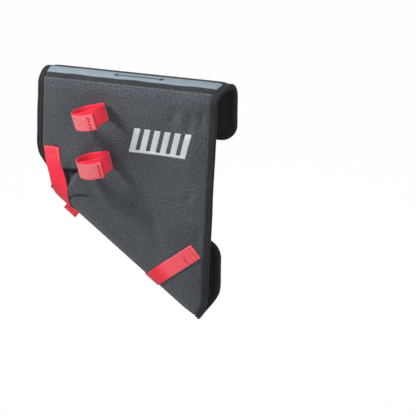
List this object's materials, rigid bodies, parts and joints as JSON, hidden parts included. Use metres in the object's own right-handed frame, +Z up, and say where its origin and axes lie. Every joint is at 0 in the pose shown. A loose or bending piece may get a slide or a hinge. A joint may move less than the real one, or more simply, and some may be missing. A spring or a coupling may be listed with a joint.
{
  "type": "bicycle frame pad",
  "caption": "Padded cloth that hangs over a bicycle's top tube, shields the frame, folds round the down tube and holds a turned handlebar in looped straps.",
  "frame": {"origin": "on the lining at the crown of the saddle, where the pad hangs on the top tube, at the middle of the panel's top width and in the tubes' plane", "axes": "+X along the top tube to the bicycle's rear, +Y away from the side that the pad faces, +Z up"},
  "size_m": [0.3009, 0.1244, 0.378],
  "materials": {
    "black_cloth": "plain woven polyester, matt",
    "heather_cloth": "mottled woven polyester, matt",
    "lining_cloth": "smooth woven nylon",
    "foam": "closed-cell foam",
    "edge_tape": "ribbed grosgrain tape",
    "pale_strip": "close-woven ribbon",
    "pale_print": "screen print",
    "dark_print": "screen print",
    "red_webbing": "woven webbing",
    "soft_red_webbing": "webbing with a brushed loop face",
    "loop_tape": "brushed loop tape",
    "hook_tape": "hook tape"
  },
  "bodies": {
    "root": {"saddle_cover": "black_cloth", "front_cover": "heather_cloth", "lining": "lining_cloth", "upper_flap_foam": "foam", "top_tube_foam": "foam", "front_foam": "foam", "down_tube_foam": "foam", "lower_flap_foam": "foam", "right_edge_binding": "edge_tape", "lower_flap_binding": "edge_tape", "left_edge_binding": "edge_tape", "upper_flap_binding": "edge_tape", "saddle_strip": "pale_strip", "panel_print": "pale_print", "strip_print": "dark_print", "right_down_tube_strap": "red_webbing", "left_down_tube_strap": "red_webbing", "right_loop_patch": "loop_tape", "left_loop_patch": "loop_tape", "right_strap_hook": "hook_tape", "left_strap_hook": "hook_tape", "upper_bar_strap": "soft_red_webbing", "lower_bar_strap": "soft_red_webbing", "upper_bar_hook": "hook_tape", "lower_bar_hook": "hook_tape"}
  },
  "joints": []
}
